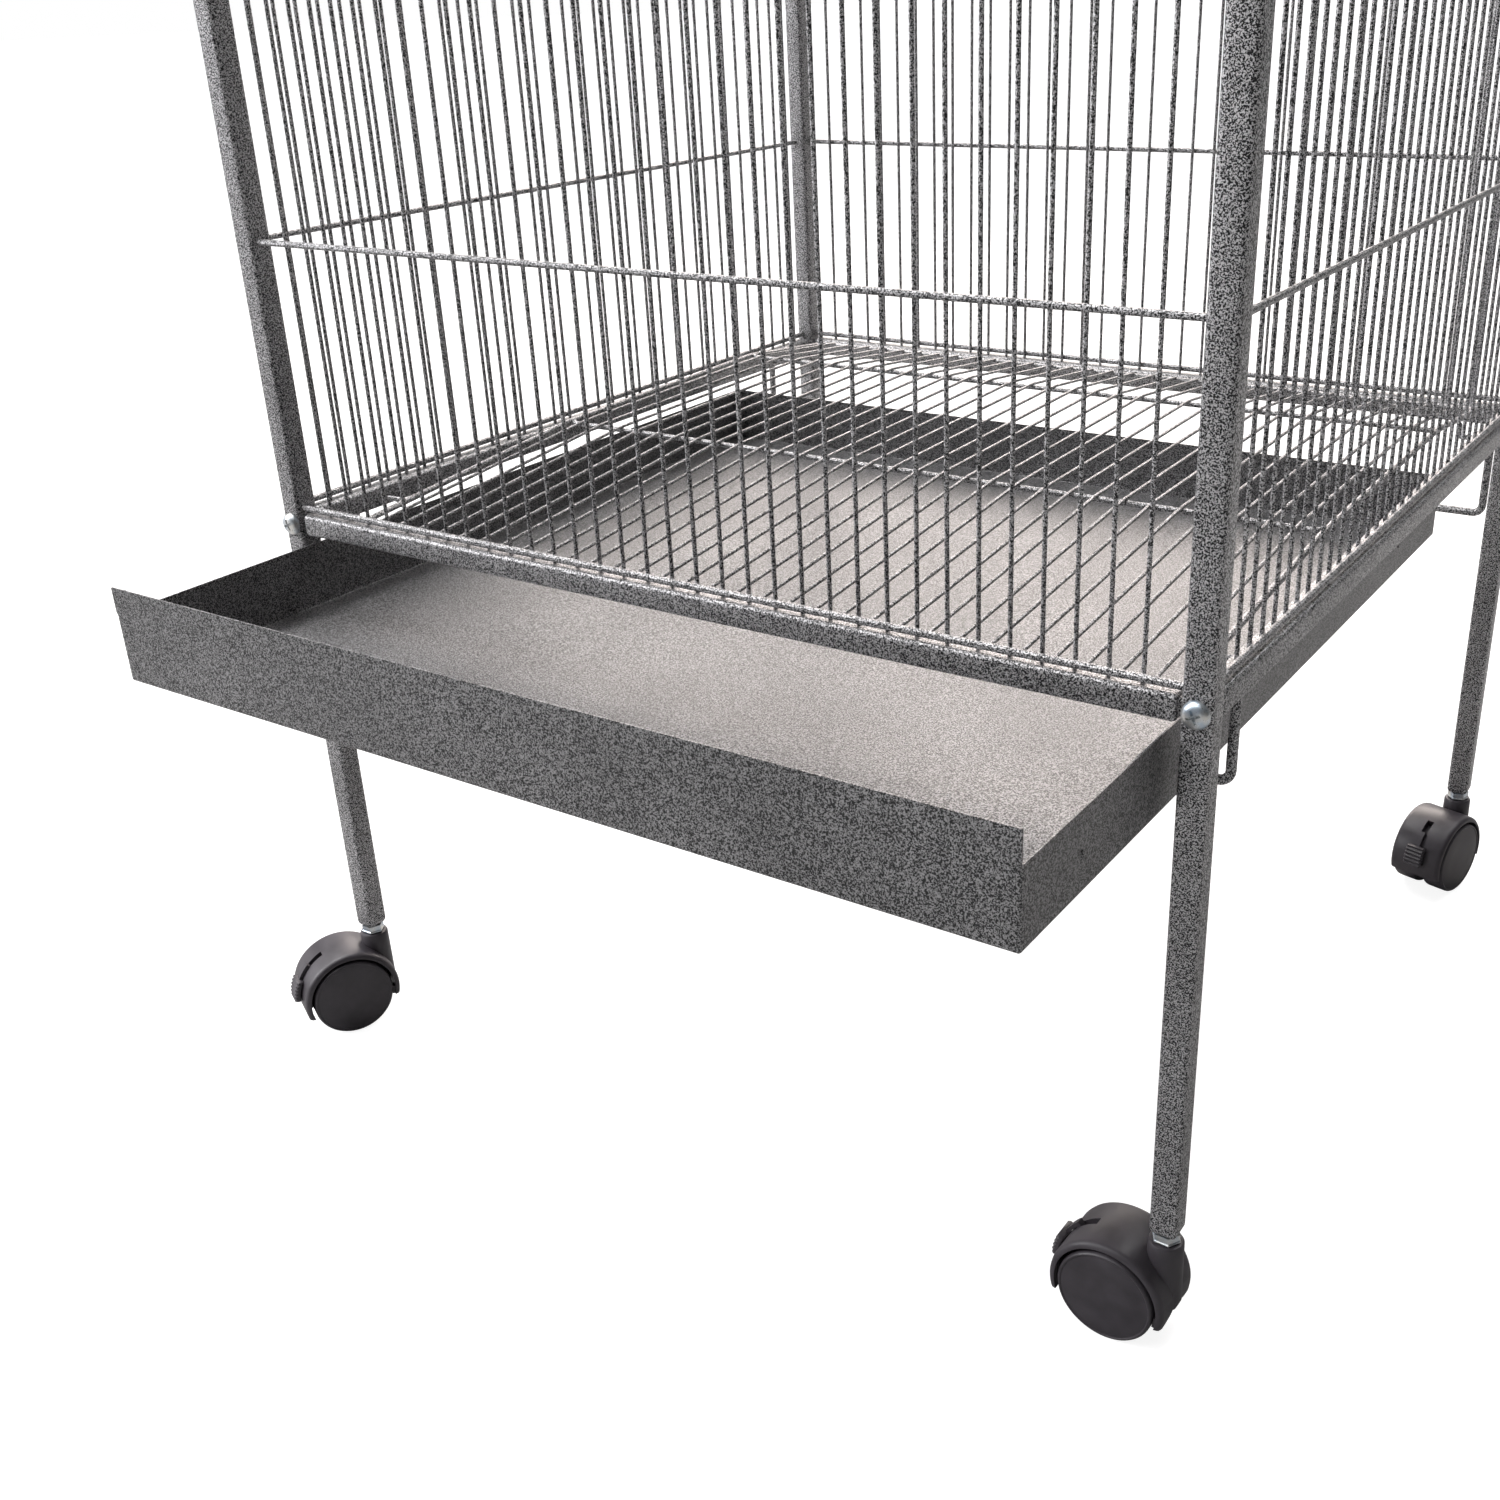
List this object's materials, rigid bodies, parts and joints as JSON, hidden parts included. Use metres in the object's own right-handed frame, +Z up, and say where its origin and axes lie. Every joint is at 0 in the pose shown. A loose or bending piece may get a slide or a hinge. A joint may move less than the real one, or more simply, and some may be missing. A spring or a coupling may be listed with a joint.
{
  "type": "bird cage on stand",
  "caption": "Wire flight cage on tall square-tube legs with swivel casters, a slide-out sheet-metal tray under a wire floor grate, a front door and side feeder doors.",
  "frame": {"origin": "bottom centre of the bounding box, on the floor under the casters, with the tray pulled out as stored", "axes": "+Z up along the posts, -Y towards the front, where the tray slides out, +X to the cage's right as seen from the front"},
  "size_m": [0.5548, 0.6138, 1.372],
  "materials": {
    "hammered_coat": "charcoal hammertone powder coat with pale grey speckle",
    "zinc_plate": "bright bluish zinc plate",
    "black_plastic": "satin black moulded plastic"
  },
  "bodies": {
    "frame": {"post_front_right": "hammered_coat", "post_plug_front_right": "black_plastic", "screw_base_front_right": "zinc_plate", "screw_top_front_right": "zinc_plate", "caster_front_right_stem": "zinc_plate", "post_front_left": "hammered_coat", "post_plug_front_left": "black_plastic", "screw_base_front_left": "zinc_plate", "screw_top_front_left": "zinc_plate", "caster_front_left_stem": "zinc_plate", "post_back_right": "hammered_coat", "post_plug_back_right": "black_plastic", "screw_base_back_right": "zinc_plate", "screw_top_back_right": "zinc_plate", "caster_back_right_stem": "zinc_plate", "post_back_left": "hammered_coat", "post_plug_back_left": "black_plastic", "screw_base_back_left": "zinc_plate", "screw_top_back_left": "zinc_plate", "caster_back_left_stem": "zinc_plate", "rail_base_front": "hammered_coat", "rail_base_back": "hammered_coat", "rail_base_left": "hammered_coat", "rail_base_right": "hammered_coat", "rail_top_front": "hammered_coat", "rail_top_back": "hammered_coat", "rail_top_left": "hammered_coat", "rail_top_right": "hammered_coat", "panel_front": "hammered_coat", "panel_back": "hammered_coat", "panel_left": "hammered_coat", "panel_right": "hammered_coat", "panel_roof": "hammered_coat", "tray_runner_front": "hammered_coat", "tray_runner_back": "hammered_coat"},
    "tray": {"tray": "hammered_coat"},
    "grate": {"floor_grate": "hammered_coat"},
    "door_front": {"door_front": "hammered_coat"},
    "door_latch": {"door_latch": "zinc_plate"},
    "door_feeder_left": {"door_feeder_left": "hammered_coat"},
    "door_feeder_right": {"door_feeder_right": "hammered_coat"},
    "caster_front_right_swivel": {"caster_front_right_hood": "black_plastic"},
    "caster_front_right_wheel_left": {"caster_front_right_wheel_left": "black_plastic"},
    "caster_front_right_wheel_right": {"caster_front_right_wheel_right": "black_plastic"},
    "caster_front_right_brake": {"caster_front_right_brake_tab": "black_plastic"},
    "caster_front_left_swivel": {"caster_front_left_hood": "black_plastic"},
    "caster_front_left_wheel_left": {"caster_front_left_wheel_left": "black_plastic"},
    "caster_front_left_wheel_right": {"caster_front_left_wheel_right": "black_plastic"},
    "caster_front_left_brake": {"caster_front_left_brake_tab": "black_plastic"},
    "caster_back_right_swivel": {"caster_back_right_hood": "black_plastic"},
    "caster_back_right_wheel_left": {"caster_back_right_wheel_left": "black_plastic"},
    "caster_back_right_wheel_right": {"caster_back_right_wheel_right": "black_plastic"},
    "caster_back_right_brake": {"caster_back_right_brake_tab": "black_plastic"},
    "caster_back_left_swivel": {"caster_back_left_hood": "black_plastic"},
    "caster_back_left_wheel_left": {"caster_back_left_wheel_left": "black_plastic"},
    "caster_back_left_wheel_right": {"caster_back_left_wheel_right": "black_plastic"},
    "caster_back_left_brake": {"caster_back_left_brake_tab": "black_plastic"}
  },
  "joints": [
    {"name": "tray_slide", "type": "slide", "parent": "frame", "child": "tray", "axis": [0, -1, 0], "range_m": [-0.1145, 0.3]},
    {"name": "grate_lift", "type": "slide", "parent": "frame", "child": "grate", "axis": [0, 0, 1], "range_m": [0, 0.05]},
    {"name": "door_front_hinge", "type": "hinge", "parent": "frame", "child": "door_front", "pos_m": [-0.0886, -0.1904, 0.825], "axis": [0, 0, -1], "range_deg": [0, 110]},
    {"name": "door_latch_turn", "type": "hinge", "parent": "frame", "child": "door_latch", "pos_m": [0.1244, -0.1915, 0.825], "axis": [0, 1, 0], "range_deg": [0, 90]},
    {"name": "door_feeder_left_hinge", "type": "hinge", "parent": "frame", "child": "door_feeder_left", "pos_m": [-0.2405, -0.04205, 0.899], "axis": [0, 1, 0], "range_deg": [0, 120]},
    {"name": "door_feeder_right_hinge", "type": "hinge", "parent": "frame", "child": "door_feeder_right", "pos_m": [0.2653, -0.04205, 0.899], "axis": [0, -1, 0], "range_deg": [0, 120]},
    {"name": "caster_front_right_swivel", "type": "hinge", "parent": "frame", "child": "caster_front_right_swivel", "pos_m": [0.26015, -0.18525, 0.045], "axis": [0, 0, 1], "continuous": true},
    {"name": "caster_front_right_roll_left", "type": "hinge", "parent": "caster_front_right_swivel", "child": "caster_front_right_wheel_left", "pos_m": [0.23966, -0.18479, 0.0228], "axis": [-0.0227, -0.9997, 0], "continuous": true},
    {"name": "caster_front_right_roll_right", "type": "hinge", "parent": "caster_front_right_swivel", "child": "caster_front_right_wheel_right", "pos_m": [0.23966, -0.18479, 0.0228], "axis": [-0.0227, -0.9997, 0], "continuous": true},
    {"name": "caster_front_right_brake", "type": "hinge", "parent": "caster_front_right_swivel", "child": "caster_front_right_brake", "pos_m": [0.23966, -0.18479, 0.0228], "axis": [0.0227, 0.9997, 0], "range_deg": [0, 18]},
    {"name": "caster_front_left_swivel", "type": "hinge", "parent": "frame", "child": "caster_front_left_swivel", "pos_m": [-0.23535, -0.18525, 0.045], "axis": [0, 0, 1], "continuous": true},
    {"name": "caster_front_left_roll_left", "type": "hinge", "parent": "caster_front_left_swivel", "child": "caster_front_left_wheel_left", "pos_m": [-0.24463, -0.20353, 0.0228], "axis": [0.8918, -0.4524, 0], "continuous": true},
    {"name": "caster_front_left_roll_right", "type": "hinge", "parent": "caster_front_left_swivel", "child": "caster_front_left_wheel_right", "pos_m": [-0.24463, -0.20353, 0.0228], "axis": [0.8918, -0.4524, 0], "continuous": true},
    {"name": "caster_front_left_brake", "type": "hinge", "parent": "caster_front_left_swivel", "child": "caster_front_left_brake", "pos_m": [-0.24463, -0.20353, 0.0228], "axis": [-0.8918, 0.4524, 0], "range_deg": [0, 18]},
    {"name": "caster_back_right_swivel", "type": "hinge", "parent": "frame", "child": "caster_back_right_swivel", "pos_m": [0.26015, 0.29225, 0.045], "axis": [0, 0, 1], "continuous": true},
    {"name": "caster_back_right_roll_left", "type": "hinge", "parent": "caster_back_right_swivel", "child": "caster_back_right_wheel_left", "pos_m": [0.25519, 0.27236, 0.0228], "axis": [0.9703, -0.2419, 0], "continuous": true},
    {"name": "caster_back_right_roll_right", "type": "hinge", "parent": "caster_back_right_swivel", "child": "caster_back_right_wheel_right", "pos_m": [0.25519, 0.27236, 0.0228], "axis": [0.9703, -0.2419, 0], "continuous": true},
    {"name": "caster_back_right_brake", "type": "hinge", "parent": "caster_back_right_swivel", "child": "caster_back_right_brake", "pos_m": [0.25519, 0.27236, 0.0228], "axis": [-0.9703, 0.2419, 0], "range_deg": [0, 18]},
    {"name": "caster_back_left_swivel", "type": "hinge", "parent": "frame", "child": "caster_back_left_swivel", "pos_m": [-0.23535, 0.29225, 0.045], "axis": [0, 0, 1], "continuous": true},
    {"name": "caster_back_left_roll_left", "type": "hinge", "parent": "caster_back_left_swivel", "child": "caster_back_left_wheel_left", "pos_m": [-0.24825, 0.27632, 0.0228], "axis": [0.7771, -0.6293, 0], "continuous": true},
    {"name": "caster_back_left_roll_right", "type": "hinge", "parent": "caster_back_left_swivel", "child": "caster_back_left_wheel_right", "pos_m": [-0.24825, 0.27632, 0.0228], "axis": [0.7771, -0.6293, 0], "continuous": true},
    {"name": "caster_back_left_brake", "type": "hinge", "parent": "caster_back_left_swivel", "child": "caster_back_left_brake", "pos_m": [-0.24825, 0.27632, 0.0228], "axis": [-0.7771, 0.6293, 0], "range_deg": [0, 18]}
  ]
}
